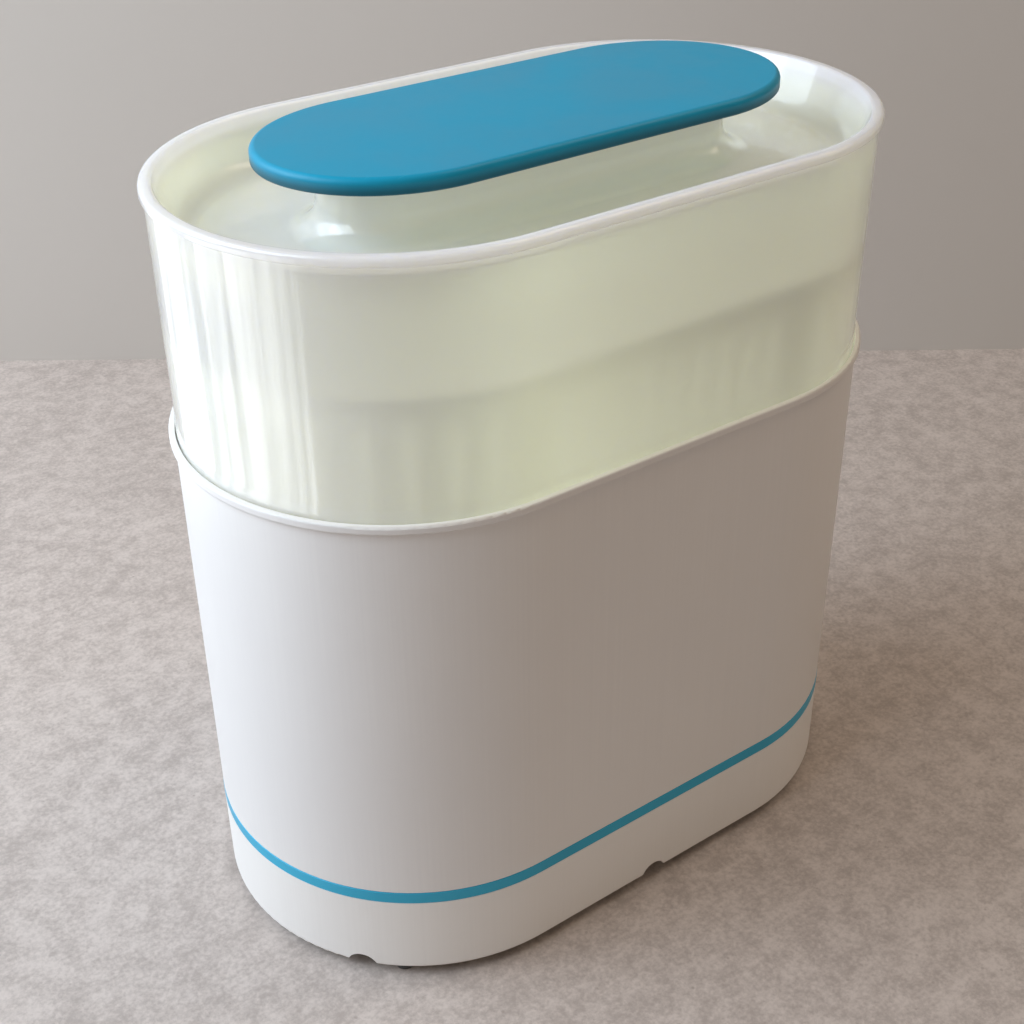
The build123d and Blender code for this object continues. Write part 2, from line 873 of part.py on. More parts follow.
def lid_shell():
    under = tray_floor - lid_wall
    foot = pedestal_radius + pedestal_fillet + lid_wall
    outer = [
        (0, under + merge),
        (foot, under + merge),
        (foot, tray_floor),
        (pedestal_radius, tray_floor, pedestal_fillet),
        (pedestal_radius, handle_low, 0.6),
        (0, handle_low),
    ]
    hollow_radius = pedestal_radius - lid_wall
    hollow_mouth = foot + 2 * lid_wall
    hollow = [
        (0, under - through),
        (hollow_mouth, under - through),
        (hollow_mouth, under),
        (hollow_radius, under, pedestal_fillet + lid_wall),
        (hollow_radius, handle_low - lid_wall, 1.0),
        (0, handle_low - lid_wall),
    ]
    body = around(lid_tray_outline())
    body += around(outer, pedestal_half)
    body -= around(hollow, pedestal_half)
    for x in (-vent_pitch, 0, vent_pitch):
        body -= upright(vent_radius, x, vent_place, under - through, tray_floor + through)
    low = handle_low - lid_wall - through
    for x in handle_screw_places:
        body -= upright(screw_shank + screw_slack, x, 0, low, handle_low + through)
    return body


def handle_outline(inset=0.0):
    """Capsule with slightly pointed, elliptical ends."""
    width = handle_radius - inset
    body = Rectangle(2 * handle_half, 2 * width)
    for side in (-1, 1):
        body += Pos(side * handle_half, 0) * Ellipse(handle_end - inset, width)
    return body


def handle_plate():
    body = Pos(0, 0, handle_low) * extrude(handle_outline(), handle_thickness)
    body = fillet(body.faces().sort_by(Axis.Z)[-1].edges(), handle_top_round)
    body = fillet(body.faces().sort_by(Axis.Z)[0].edges(), handle_low_round)
    room = handle_thickness - handle_skin
    body -= Pos(0, 0, handle_low) * extrude(handle_outline(handle_wall), room)
    top = handle_low + room + merge
    rib = slab(pedestal_radius, handle_low, top, pedestal_half)
    body += rib - slab(pedestal_radius - handle_rib, handle_low, top, pedestal_half)
    pilot = handle_low + handle_screw_length - lid_wall - washer_thickness + merge
    for x in handle_screw_places:
        body += upright(boss_radius, x, 0, handle_low, top)
        body -= upright(screw_shank + pilot_gap, x, 0, handle_low - through, pilot)
    return body


def handle_screws():
    seat = handle_low - lid_wall - washer_thickness
    return Part() + [screw_up(x, 0, seat, handle_screw_length) for x in handle_screw_places]


def handle_washers():
    high = handle_low - lid_wall
    low = high - washer_thickness
    washers = []
    for x in handle_screw_places:
        ring = upright(washer_radius, x, 0, low, high)
        washers.append(ring - upright(screw_shank + screw_slack, x, 0, low, high))
    return Part() + washers


pieces = [
    base_shell,
    trim_ring,
    bottom_cover,
    rubber_feet,
    cover_screws,
    cord_gland,
    terminal_block,
    heating_plate,
    heater_seal,
    heat_spreader,
    heating_element,
    heater_bracket,
    bracket_screws,
    thermostat,
    thermal_fuse,
    control_board,
    power_switch,
    relay,
    filter_capacitor,
    indicator_led,
    indicator_lens,
    power_button,
    switch_plunger,
    lead_neutral,
    lead_live,
    lead_thermostat,
    lead_heater,
    large_basket,
    divider_plate,
    small_basket,
    lid_shell,
    handle_plate,
    handle_screws,
    handle_washers,
]

os.makedirs("parts", exist_ok=True)
for piece in pieces:
    export_step(piece(), os.path.join("parts", piece.__name__ + ".step"))
    print("wrote", piece.__name__)
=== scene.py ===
import bmesh
import bpy
from math import cos, pi, radians, sin, sqrt, tan
from mathutils import Matrix, Vector


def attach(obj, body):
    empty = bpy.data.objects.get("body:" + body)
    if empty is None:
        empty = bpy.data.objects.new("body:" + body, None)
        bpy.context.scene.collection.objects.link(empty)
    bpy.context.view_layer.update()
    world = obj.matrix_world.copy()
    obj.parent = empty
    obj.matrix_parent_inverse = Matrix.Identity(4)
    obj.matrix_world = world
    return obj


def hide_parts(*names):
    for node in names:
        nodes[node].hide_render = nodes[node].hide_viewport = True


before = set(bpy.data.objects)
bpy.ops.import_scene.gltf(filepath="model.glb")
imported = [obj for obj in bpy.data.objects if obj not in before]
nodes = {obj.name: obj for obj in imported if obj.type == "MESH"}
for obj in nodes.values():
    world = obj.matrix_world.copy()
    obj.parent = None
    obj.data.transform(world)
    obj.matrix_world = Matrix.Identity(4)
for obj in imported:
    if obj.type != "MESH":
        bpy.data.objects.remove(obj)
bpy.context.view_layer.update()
mm = 0.001
print("frame loaded:", len(nodes), "nodes")


class Socket:
    # an output of a node; arithmetic on it adds Math nodes
    def __init__(self, finish, link):
        self.finish = finish
        self.link = link

    def maths(self, operation, other=None, swapped=False):
        pair = (other, self) if swapped else (self, other)
        sockets = {i: v for i, v in enumerate(pair) if v is not None}
        return self.finish.add("ShaderNodeMath", {"operation": operation}, sockets)

    def __add__(self, other):
        return self.maths("ADD", other)

    def __radd__(self, other):
        return self.maths("ADD", other, True)

    def __sub__(self, other):
        return self.maths("SUBTRACT", other)

    def __rsub__(self, other):
        return self.maths("SUBTRACT", other, True)

    def __mul__(self, other):
        return self.maths("MULTIPLY", other)

    def __rmul__(self, other):
        return self.maths("MULTIPLY", other, True)

    def __truediv__(self, other):
        return self.maths("DIVIDE", other)

    def most(self, other):
        return self.maths("MAXIMUM", other)


class Finish:
    # one material, built node by node round a single Principled shader
    def __init__(self, name, **constants):
        self.material = bpy.data.materials.new(name)
        self.material.use_nodes = True
        self.tree = self.material.node_tree
        self.tree.nodes.clear()
        self.shader = self.make("ShaderNodeBsdfPrincipled", {}, constants)
        self.output = self.make("ShaderNodeOutputMaterial", {}, {})
        self.tree.links.new(self.shader.outputs[0], self.output.inputs["Surface"])
        self.place = self.add("ShaderNodeTexCoord", {}, {}, "Object")

    def make(self, kind, settings, sockets):
        node = self.tree.nodes.new(kind)
        for key, value in settings.items():
            if key == "stops":
                self.setStops(node.color_ramp, value)
            else:
                setattr(node, key, value)
        for key, value in sockets.items():
            entry = node.inputs[key]
            if isinstance(value, Socket):
                self.tree.links.new(value.link, entry)
            else:
                entry.default_value = value
        return node

    def setStops(self, ramp, stops):
        while len(ramp.elements) < len(stops):
            ramp.elements.new(0.5)
        for element, (at, colour) in zip(ramp.elements, stops):
            element.position = at
            element.color = colour if len(colour) == 4 else (*colour, 1)

    def add(self, kind, settings, sockets, out=0):
        return Socket(self, self.make(kind, settings, sockets).outputs[out])

    def feed(self, **sockets):
        names = {"colour": "Base Color", "roughness": "Roughness", "glow": "Emission Color",
                 "normal": "Normal"}
        for key, value in sockets.items():
            self.tree.links.new(value.link, self.shader.inputs[names[key]])
        return self

    def clearWhere(self, factor, colour=(1, 1, 1)):
        # a Transparent shader takes over where the factor is 1
        clear = self.make("ShaderNodeBsdfTransparent", {}, {"Color": (*colour, 1)})
        mix = self.make("ShaderNodeMixShader", {}, {0: factor})
        self.tree.links.new(self.shader.outputs[0], mix.inputs[1])
        self.tree.links.new(clear.outputs[0], mix.inputs[2])
        self.tree.links.new(mix.outputs[0], self.output.inputs["Surface"])
        return self

    # 1 for a ray that a lamp sends, for the clear shader to take over
    def underLamp(self):
        return self.add("ShaderNodeLightPath", {}, {}, "Is Shadow Ray")

    # 1 on the back of a face
    def fromBehind(self):
        return self.add("ShaderNodeNewGeometry", {}, {}, "Backfacing")

    def stretched(self, x, y, z):
        return self.add("ShaderNodeMapping", {}, {"Vector": self.place, "Scale": (x, y, z)})

    def noise(self, scale, detail=3.0, rough=0.5, at=None):
        sockets = {"Vector": at or self.place, "Scale": scale, "Detail": detail, "Roughness": rough}
        return self.add("ShaderNodeTexNoise", {}, sockets)

    def ranged(self, value, low, high, to=(0.0, 1.0)):
        sockets = {"Value": value, "From Min": low, "From Max": high,
                   "To Min": to[0], "To Max": to[1]}
        return self.add("ShaderNodeMapRange", {"interpolation_type": "SMOOTHSTEP"}, sockets)

    def blended(self, factor, first, second):
        sockets = {"Factor": factor, 6: colourOf(first), 7: colourOf(second)}
        return self.add("ShaderNodeMix", {"data_type": "RGBA"}, sockets, 2)

    def bumped(self, height, strength, distance, under=None):
        sockets = {"Height": height, "Strength": strength, "Distance": distance}
        if under:
            sockets["Normal"] = under
        return self.add("ShaderNodeBump", {}, sockets)

    def axis(self, name):
        return self.add("ShaderNodeSeparateXYZ", {}, {0: self.place}, name)

    def specks(self, scale, size, at=None):
        # small round spots, one in a few cells
        cells = self.make("ShaderNodeTexVoronoi", {}, {"Vector": at or self.place, "Scale": scale})
        near = Socket(self, cells.outputs["Distance"])
        pick = self.add("ShaderNodeSeparateColor", {}, {0: Socket(self, cells.outputs["Color"])})
        return self.ranged(near, size, size * 0.6) * self.ranged(pick, 0.80, 0.84)


def colourOf(value):
    if isinstance(value, Socket) or len(value) == 4:
        return value
    return (*value, 1)


# finishes

bodyLook = {
    "white": (0.82, 0.81, 0.805),
    "shade": (0.79, 0.78, 0.78),
    "streaks": (900, 900, 5),  # fine round the wall, long up it
    "clouds": 9.0,
    "fleck": (0.20, 0.17, 0.14),
    "fleckCells": 70.0,
    "fleckSize": 0.018,
    "grain": 2400.0,
    "roughness": (0.34, 0.46),
}
innerLook = {
    "white": (0.88, 0.87, 0.84),
    "shade": (0.85, 0.84, 0.81),
    "depth": 0.01,
    "passes": (0.99, 0.99, 0.95),
}
baseLook = {
    "white": (0.87, 0.86, 0.845),
    "shade": (0.84, 0.83, 0.815),
}


def whitePlastic(name, own):
    # own holds what differs from the body's look; with passes, lamps shine through
    look = {**bodyLook, **own}
    constants = {"IOR": 1.49, "Specular IOR Level": 0.5}
    if "passes" in look:
        constants.update({"Subsurface Weight": 1.0, "Subsurface Radius": (1, 1, 0.9),
                          "Subsurface Scale": look["depth"]})
    made = Finish(name, **constants)
    streak = made.noise(1.0, 2.0, 0.5, made.stretched(*look["streaks"]))
    cloud = made.noise(look["clouds"], 3.0)
    tint = made.ranged(cloud * 0.7 + streak * 0.3, 0.35, 0.65)
    colour = made.blended(tint, look["shade"], look["white"])
    flecks = made.specks(look["fleckCells"], look["fleckSize"])
    colour = made.blended(flecks * 0.5, colour, look["fleck"])
    rough = made.ranged(cloud * 0.5 + streak * 0.5, 0.3, 0.7, look["roughness"])
    under = made.bumped(streak, 0.05, 0.0004)
    normal = made.bumped(made.noise(look["grain"], 2.0), 0.04, 0.0002, under)
    made.feed(colour=colour, roughness=rough, normal=normal)
    if "passes" in look:
        made.clearWhere(made.underLamp(), look["passes"])
    return made.material


lidLook = {
    "milk": (0.905, 0.890, 0.806),
    # painted light: the lower wall's colour is brighter and yellower, standing in for light thrown
    # back inside the lid
    "paintedGlowAmber": (0.936, 0.914, 0.786),
    "paintedGlowTo": (0.238, 0.288),  # heights between which the lower wall's painted glow turns to milk, in metres
    # painted light: the rim band is painted lighter than the wall, standing in for light on the
    # lid's top
    "rim": (0.975, 0.97, 0.90),
    "paintedLightRimFrom": (0.3045, 0.3065),
    "depth": 0.022,  # how far light wanders in the wall, in metres
    "passes": (0.96, 0.95, 0.87),  # share of lamp light that crosses one face
    "streaks": (320, 320, 6),
    "waves": (34, 34, 4),
    "roughness": (0.10, 0.20),
}


def milkyPlastic():
    look = lidLook
    made = Finish("milkyPlastic", **{
        "IOR": 1.49, "Subsurface Weight": 1.0, "Subsurface Radius": (1.0, 0.95, 0.75),
        "Subsurface Scale": look["depth"], "Coat Weight": 0.6, "Coat Roughness": 0.05})
    height = made.axis("Z")
    # painted light: the wall is painted brighter and yellower below and milkier above, to even out
    # the shade inside
    high = made.ranged(height, *look["paintedGlowTo"])
    cloud = made.noise(14.0, 3.0)
    colour = made.blended(high * 0.85 + cloud * 0.15, look["paintedGlowAmber"], look["milk"])
    # painted light: the rim band turns lighter above these heights
    colour = made.blended(made.ranged(height, *look["paintedLightRimFrom"]), colour, look["rim"])
    streak = made.noise(1.0, 3.0, 0.6, made.stretched(*look["streaks"]))
    rough = made.ranged(streak, 0.35, 0.65, look["roughness"])
    wave = made.noise(1.0, 2.0, 0.5, made.stretched(*look["waves"]))
    under = made.bumped(wave, 0.25, 0.0015)
    normal = made.bumped(streak, 0.03, 0.0003, under)
    made.feed(colour=colour, roughness=rough, normal=normal)
    return made.clearWhere(made.underLamp(), look["passes"]).material


plateLook = {
    "blue": (0.002, 0.315, 0.515),
    "deep": (0.001, 0.290, 0.48),
    "worn": (0.07, 0.40, 0.55),
    # painted shade: under is the near-black that the plate's side is painted towards its lower edge
    "under": (0.001, 0.095, 0.155),
    "underTo": (0.3145, 0.3192),  # painted shade: the side is painted darkest at the first height, in metres
    "roughness": (0.30, 0.42),
    "shine": 0.3,
}
stripeLook = {
    "blue": (0.038, 0.43, 0.66),
    "deep": (0.030, 0.39, 0.61),
    "worn": (0.09, 0.44, 0.60),
    "roughness": (0.32, 0.44),
    "shine": 0.35,
}


def bluePlastic(name, look):
    made = Finish(name, **{"IOR": 1.49, "Specular IOR Level": look["shine"]})
    cloud = made.noise(26.0, 4.0, 0.55)
    colour = made.blended(made.ranged(cloud, 0.3, 0.7), look["deep"], look["blue"])
    scratch = made.noise(1.0, 2.0, 0.5, made.stretched(60, 1500, 60))
    marks = made.ranged(scratch, 0.70, 0.78) * made.ranged(cloud, 0.55, 0.75)
    wear = (marks * 0.5).most(made.specks(260.0, 0.05) * 0.5)
    colour = made.blended(wear, colour, look["worn"])
    # painted shade: the plate's side is painted darker towards its lower edge
    if "under" in look:
        low = made.ranged(made.axis("Z"), *look["underTo"], (1.0, 0.0))
        colour = made.blended(low, colour, look["under"])
    rough = made.ranged(cloud, 0.3, 0.7, look["roughness"])
    normal = made.bumped(made.noise(1700.0, 2.0), 0.06, 0.0003)
    return made.feed(colour=colour, roughness=rough, normal=normal).material


plainLooks = {
    # name, darker and lighter colour, range of roughness, share of light that passes
    "rubber": ("greyRubber", (0.05, 0.05, 0.052), (0.09, 0.09, 0.09), (0.6, 0.8), 0.0),
    "silicone": ("silicone", (0.42, 0.09, 0.06), (0.52, 0.13, 0.09), (0.45, 0.6), 0.0),
    "black": ("blackPlastic", (0.022, 0.022, 0.023), (0.04, 0.04, 0.04), (0.38, 0.5), 0.0),
    "cream": ("creamNylon", (0.62, 0.58, 0.45), (0.72, 0.68, 0.56), (0.4, 0.52), 0.0),
    "sleeve": ("capacitorSleeve", (0.02, 0.025, 0.06), (0.035, 0.04, 0.09), (0.2, 0.3), 0.0),
    "resin": ("lampResin", (0.60, 0.10, 0.04), (0.75, 0.14, 0.06), (0.08, 0.14), 0.4),
    "lens": ("lensPlastic", (0.70, 0.42, 0.16), (0.82, 0.52, 0.24), (0.06, 0.12), 0.5),
    "blueLead": ("blueLead", (0.04, 0.12, 0.38), (0.06, 0.16, 0.48), (0.42, 0.55), 0.0),
    "brownLead": ("brownLead", (0.16, 0.07, 0.035), (0.23, 0.11, 0.06), (0.42, 0.55), 0.0),
}


def plainPlastic(name, dark, light, roughness, clear):
    made = Finish(name, **{"IOR": 1.49, "Transmission Weight": clear})
    cloud = made.noise(60.0, 4.0, 0.6)
    colour = made.blended(made.ranged(cloud, 0.3, 0.7), dark, light)
    rough = made.ranged(cloud, 0.3, 0.7, roughness)
    normal = made.bumped(made.noise(1800.0, 2.0), 0.08, 0.0003)
    return made.feed(colour=colour, roughness=rough, normal=normal).material


metalLooks = {
    # name, darker and lighter colour, range of roughness, fineness along each axis, tarnish
    "screw": ("screwSteel", (0.50, 0.50, 0.50), (0.66, 0.66, 0.65), (0.25, 0.4),
              (900, 900, 900), None),
    "pan": ("panSteel", (0.55, 0.55, 0.54), (0.68, 0.68, 0.66), (0.22, 0.36),
            (40, 1600, 40), (0.42, 0.36, 0.28)),
    "cast": ("castAluminium", (0.50, 0.50, 0.51), (0.64, 0.64, 0.65), (0.45, 0.6),
             (500, 500, 500), None),
    "element": ("elementSteel", (0.22, 0.20, 0.19), (0.34, 0.31, 0.29), (0.4, 0.55),
                (300, 300, 300), (0.16, 0.13, 0.16)),
    "zinc": ("zincSteel", (0.46, 0.48, 0.50), (0.62, 0.63, 0.62), (0.3, 0.45),
             (200, 900, 200), None),
}


def brushedMetal(name, dark, light, roughness, stretch, tarnish):
    made = Finish(name, **{"Metallic": 1.0})
    brush = made.noise(1.0, 4.0, 0.6, made.stretched(*stretch))
    cloud = made.noise(40.0, 4.0, 0.6)
    colour = made.blended(made.ranged(brush * 0.5 + cloud * 0.5, 0.3, 0.7), dark, light)
    if tarnish:
        colour = made.blended(made.ranged(cloud, 0.5, 0.75) * 0.8, colour, tarnish)
    rough = made.ranged(brush * 0.6 + cloud * 0.4, 0.3, 0.7, roughness)
    normal = made.bumped(brush, 0.10, 0.0003)
    return made.feed(colour=colour, roughness=rough, normal=normal).material


boardLook = {
    "track": (0.035, 0.17, 0.06, 1),
    "gap": (0.03, 0.14, 0.05, 1),
    "edge": (0.06, 0.26, 0.10, 1),
    "pad": (0.62, 0.55, 0.36),
    "trackCells": 260.0,
    "padCells": 420.0,
    "padSize": 0.10,
    "roughness": (0.28, 0.42),
}


def circuitBoard(look):
    made = Finish("circuitBoard", **{"IOR": 1.5})
    tracks = made.make("ShaderNodeTexBrick", {"offset": 0.5}, {
        "Vector": made.place, "Scale": look["trackCells"], "Mortar Size": 0.03,
        "Color1": look["track"], "Color2": look["gap"], "Mortar": look["edge"]})
    pads = made.specks(look["padCells"], look["padSize"])
    colour = made.blended(pads, Socket(made, tracks.outputs["Color"]), look["pad"])
    rough = made.ranged(made.noise(120.0), 0.3, 0.7, look["roughness"])
    normal = made.bumped(Socket(made, tracks.outputs["Fac"]), 0.15, 0.0002)
    return made.feed(colour=colour, roughness=rough, normal=normal).material


print("writing finishes")
finishes = {
    "body": whitePlastic("bodyPlastic", {}),
    "base": whitePlastic("basePlastic", baseLook),
    "inner": whitePlastic("innerPlastic", innerLook),
    "lid": milkyPlastic(),
    "blue": bluePlastic("bluePlastic", plateLook),
    "stripe": bluePlastic("stripePlastic", stripeLook),
    "board": circuitBoard(boardLook),
}
finishes.update({key: plainPlastic(*look) for key, look in plainLooks.items()})
finishes.update({key: brushedMetal(*look) for key, look in metalLooks.items()})

# which CAD nodes wear which finish
wears = {
    "body": ["large_basket"],
    "inner": ["divider_plate", "small_basket"],
    "base": ["base_shell", "bottom_cover"],
    "lid": ["lid_shell"],
    "blue": ["handle_plate"],
    "stripe": ["trim_ring", "power_button"],
    "rubber": ["rubber_feet", "cord_gland"],
    "silicone": ["heater_seal"],
    "screw": ["cover_screws", "bracket_screws", "handle_screws", "handle_washers"],
    "pan": ["heating_plate"],
    "cast": ["heat_spreader"],
    "element": ["heating_element", "thermal_fuse"],
    "zinc": ["heater_bracket"],
    "black": ["thermostat", "power_switch", "relay"],
    "cream": ["terminal_block", "switch_plunger"],
    "board": ["control_board"],
    "sleeve": ["filter_capacitor"],
    "resin": ["indicator_led"],
    "lens": ["indicator_lens"],
    "blueLead": ["lead_neutral"],
    "brownLead": ["lead_live", "lead_thermostat", "lead_heater"],
}


def dress(piece, material):
    piece.data.materials.clear()
    piece.data.materials.append(material)


for key, names in wears.items():
    for name in names:
        dress(nodes[name], finishes[key])


# shapes carried round the capsule by Geometry Nodes


class Tree:
    # a Geometry Nodes group, built the way a finish is
    def __init__(self, name, inputs):
        self.group = bpy.data.node_groups.new(name, "GeometryNodeTree")
        for label, kind in inputs:
            self.group.interface.new_socket(label, in_out="INPUT", socket_type="NodeSocket" + kind)
        self.group.interface.new_socket("Mesh", in_out="OUTPUT", socket_type="NodeSocketGeometry")
        self.entry = self.make("NodeGroupInput", {}, {})
        self.exit = self.make("NodeGroupOutput", {}, {})

    def make(self, kind, settings, sockets):
        node = self.group.nodes.new(kind)
        for key, value in settings.items():
            setattr(node, key, value)
        for key, value in sockets.items():
            if isinstance(value, Socket):
                self.group.links.new(value.link, node.inputs[key])
            else:
                node.inputs[key].default_value = value
        return node

    def add(self, kind, settings, sockets, out=0):
        return Socket(self, self.make(kind, settings, sockets).outputs[out])

    def given(self, label):
        return Socket(self, self.entry.outputs[label])

    def finishWith(self, mesh, material):
        real = self.add("GeometryNodeRealizeInstances", {}, {"Geometry": mesh})
        dressed = self.add("GeometryNodeSetMaterial", {}, {"Geometry": real, "Material": material})
        self.group.links.new(dressed.link, self.exit.inputs["Mesh"])


def carryTree():
    tree = Tree("carryRound", [("Outline", "Object"), ("Turn Steps", "Float"),
                               ("Side Steps", "Float"), ("Surface", "Material")])
    outline = tree.add("GeometryNodeObjectInfo", {}, {"Object": tree.given("Outline")}, "Geometry")
    turn, side = tree.given("Turn Steps"), tree.given("Side Steps")
    count = tree.add("GeometryNodeAttributeDomainSize", {"component": "MESH"},
                     {"Geometry": outline})
    rows = (turn + side) * 2.0 + 1.0
    grid = tree.add("GeometryNodeMeshGrid", {}, {"Vertices X": count, "Vertices Y": rows})
    index = tree.add("GeometryNodeInputIndex", {}, {})
    column = tree.add("ShaderNodeMath", {"operation": "FLOOR"}, {0: (index + 0.5) / rows})
    row = index - column * rows

    def sampled(name):
        field = tree.add("GeometryNodeInputNamedAttribute", {"data_type": "FLOAT"}, {"Name": name})
        return tree.add("GeometryNodeSampleIndex", {"data_type": "FLOAT"},
                        {"Geometry": outline, "Value": field, "Index": column})

    def part(start, length):
        return tree.add("ShaderNodeClamp", {}, {"Value": (row - start) / length})

    angle = (part(0.0, turn) + part(turn + side, turn)) * pi - pi / 2
    across = 1.0 - part(turn, side) * 2.0 + part(turn * 2.0 + side, side) * 2.0
    cosine = tree.add("ShaderNodeMath", {"operation": "COSINE"}, {0: angle})
    sine = tree.add("ShaderNodeMath", {"operation": "SINE"}, {0: angle})
    radius = sampled("radius")
    place = tree.add("ShaderNodeCombineXYZ", {}, {
        "X": across * sampled("half") + (radius + sampled("nose")) * cosine,
        "Y": radius * sine, "Z": sampled("height")})
    moved = tree.add("GeometryNodeSetPosition", {}, {"Geometry": grid, "Position": place})
    joined = tree.add("GeometryNodeMergeByDistance", {}, {"Geometry": moved, "Distance": 2e-6})
    smooth = tree.add("GeometryNodeSetShadeSmooth", {}, {"Geometry": joined})
    tree.finishWith(smooth, tree.given("Surface"))
    return tree.group


def repeatTree():
    tree = Tree("repeatAt", [("Places", "Object"), ("Part", "Object"), ("Surface", "Material")])
    places = tree.add("GeometryNodeObjectInfo", {}, {"Object": tree.given("Places")}, "Geometry")
    part = tree.add("GeometryNodeObjectInfo", {}, {"Object": tree.given("Part")}, "Geometry")
    copies = tree.add("GeometryNodeInstanceOnPoints", {}, {"Points": places, "Instance": part})
    tree.finishWith(copies, tree.given("Surface"))
    return tree.group


carryRound = carryTree()
repeatAt = repeatTree()


def settled(piece):
    # the piece's mesh as its modifiers leave it; the modifiers go
    shown = piece.evaluated_get(bpy.context.evaluated_depsgraph_get())
    mesh = bpy.data.meshes.new_from_object(shown)
    piece.modifiers.clear()
    return mesh


def grown(name, group, values):
    # runs a tree on a new object and keeps the result as a plain mesh
    holder = bpy.data.objects.new(name + "Holder", bpy.data.meshes.new(name + "Holder"))
    bpy.context.scene.collection.objects.link(holder)
    modifier = holder.modifiers.new("grow", "NODES")
    modifier.node_group = group
    entries = [item for item in group.interface.items_tree if item.in_out == "INPUT"]
    for entry in entries:
        modifier[entry.identifier] = values[entry.name]
    mesh = settled(holder)
    bpy.data.objects.remove(holder)
    mesh.name = name
    piece = bpy.data.objects.new(name, mesh)
    bpy.context.scene.collection.objects.link(piece)
    return piece


def helperMesh(name, points, attributes=None):
    mesh = bpy.data.meshes.new(name)
    mesh.from_pydata(points, [], [])
    for label, values in (attributes or {}).items():
        mesh.attributes.new(label, "FLOAT", "POINT").data.foreach_set("value", values)
    helper = bpy.data.objects.new(name, mesh)
    bpy.context.scene.collection.objects.link(helper)
    return helper


def rounded(corners, stepAngle=10.0):
    # corners are (radius, height, fillet, half, nose); fillets become short arcs
    points = []
    for i, corner in enumerate(corners):
        radius, height, fillet, half, nose = corner
        if fillet == 0:
            points.append((radius, height, half, nose))
            continue
        here = Vector((radius, height))
        before = (Vector(corners[i - 1][:2]) - here).normalized()
        after = (Vector(corners[(i + 1) % len(corners)][:2]) - here).normalized()
        opening = before.angle(after)
        centre = here + (before + after).normalized() * fillet / sin(opening / 2)
        reach = fillet / tan(opening / 2)
        first, last = here + before * reach - centre, here + after * reach - centre
        steps = max(2, round((pi - opening) / radians(stepAngle)))
        for k in range(steps + 1):
            spot = centre + first.normalized().slerp(last.normalized(), k / steps) * fillet
            points.append((spot.x, spot.y, half, nose))
    return points


def carried(name, corners, material, closed=False, turnSteps=72, sideSteps=24, stepAngle=10.0):
    points = rounded(corners, stepAngle)
    if closed:
        points.append(points[0])
    columns = [[v * mm for v in column] for column in zip(*points)]
    labels = dict(zip(("radius", "height", "half", "nose"), columns))
    outline = helperMesh(name + "Outline", [(0, 0, 0)] * len(points), labels)
    values = {"Outline": outline, "Turn Steps": float(turnSteps), "Side Steps": float(sideSteps),
              "Surface": material}
    piece = grown(name, carryRound, values)
    bpy.data.objects.remove(outline)
    return tidyMesh(piece)


def tidyMesh(piece):
    form = bmesh.new()
    form.from_mesh(piece.data)
    bmesh.ops.remove_doubles(form, verts=form.verts, dist=1e-6)
    bmesh.ops.recalc_face_normals(form, faces=form.faces)
    form.to_mesh(piece.data)
    form.free()
    return piece


def weighted(piece):
    # flat faces keep flat shading beside their small rounds
    modifier = piece.modifiers.new("weighted", "WEIGHTED_NORMAL")
    modifier.keep_sharp = True
    piece.data = settled(piece)
    return piece


def standsFor(piece, body, slot, *names):
    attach(piece, body)
    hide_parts(*names)
    return piece


plan = {"half": 60.0}

lidShape = {
    "radius": 84.6, "wall": 2.2, "seat": 213.7, "band": 0.3, "bandHeight": 7.0,
    "rimTop": 309.6, "rimRadius": 86.0, "rimBand": 3.5, "rimWidth": 4.5,
    "rimRound": 1.6, "edgeRound": 1.4,
    "trayFloor": 289.0, "trayRadius": 74.5, "trayFillet": 10.0,
    "fold": 2.5,  # how far under the rim the wall and the tray part
    "footHalf": 67.0, "footRadius": 21.0, "footFillet": 11.0, "footTop": 313.6,
    "ventRadius": 1.8, "ventPitch": 9.0, "ventPlace": -50.0,
}


def lidCorners(s):
    half, foot = plan["half"], s["footHalf"]
    edge = s["rimRadius"] - s["rimWidth"]
    lean = (edge - s["trayRadius"]) / (s["rimTop"] - s["trayFloor"])
    skew = s["wall"] * sqrt(1 + lean**2)
    inner, band = s["radius"] - s["wall"], s["radius"] + s["band"]
    fold = s["rimTop"] - (edge + skew - inner) / lean - s["fold"]
    foldRadius = edge + skew - (s["rimTop"] - fold) * lean
    under, hollow = s["trayFloor"] - s["wall"], s["footRadius"] - s["wall"]
    return [
        (0, s["footTop"], 0, foot, 0),
        (s["footRadius"], s["footTop"], 0.6, foot, 0),
        (s["footRadius"], s["trayFloor"], s["footFillet"], foot, 0),
        (s["trayRadius"], s["trayFloor"], s["trayFillet"], half, 0),
        (edge, s["rimTop"], s["edgeRound"], half, 0),
        (s["rimRadius"], s["rimTop"], s["rimRound"], half, 0),
        (s["rimRadius"], s["rimTop"] - s["rimBand"], 0.5, half, 0),
        (s["radius"], s["rimTop"] - s["rimBand"], 0.25, half, 0),
        (s["radius"], s["seat"] + s["bandHeight"], 0, half, 0),
        (band, s["seat"] + s["bandHeight"] - s["band"], 0, half, 0),
        (band, s["seat"], 0.5, half, 0),
        (inner, s["seat"], 0.4, half, 0),
        (inner, fold, 0.5, half, 0),
        (foldRadius, fold, 0.5, half, 0),
        (s["trayRadius"] + skew - s["wall"] * lean, under, s["trayFillet"] + s["wall"], half, 0),
        (hollow, under, s["footFillet"] + s["wall"], foot, 0),
        (hollow, s["footTop"] - s["wall"], 1.0, foot, 0),
        (0, s["footTop"] - s["wall"], 0, foot, 0),
    ]


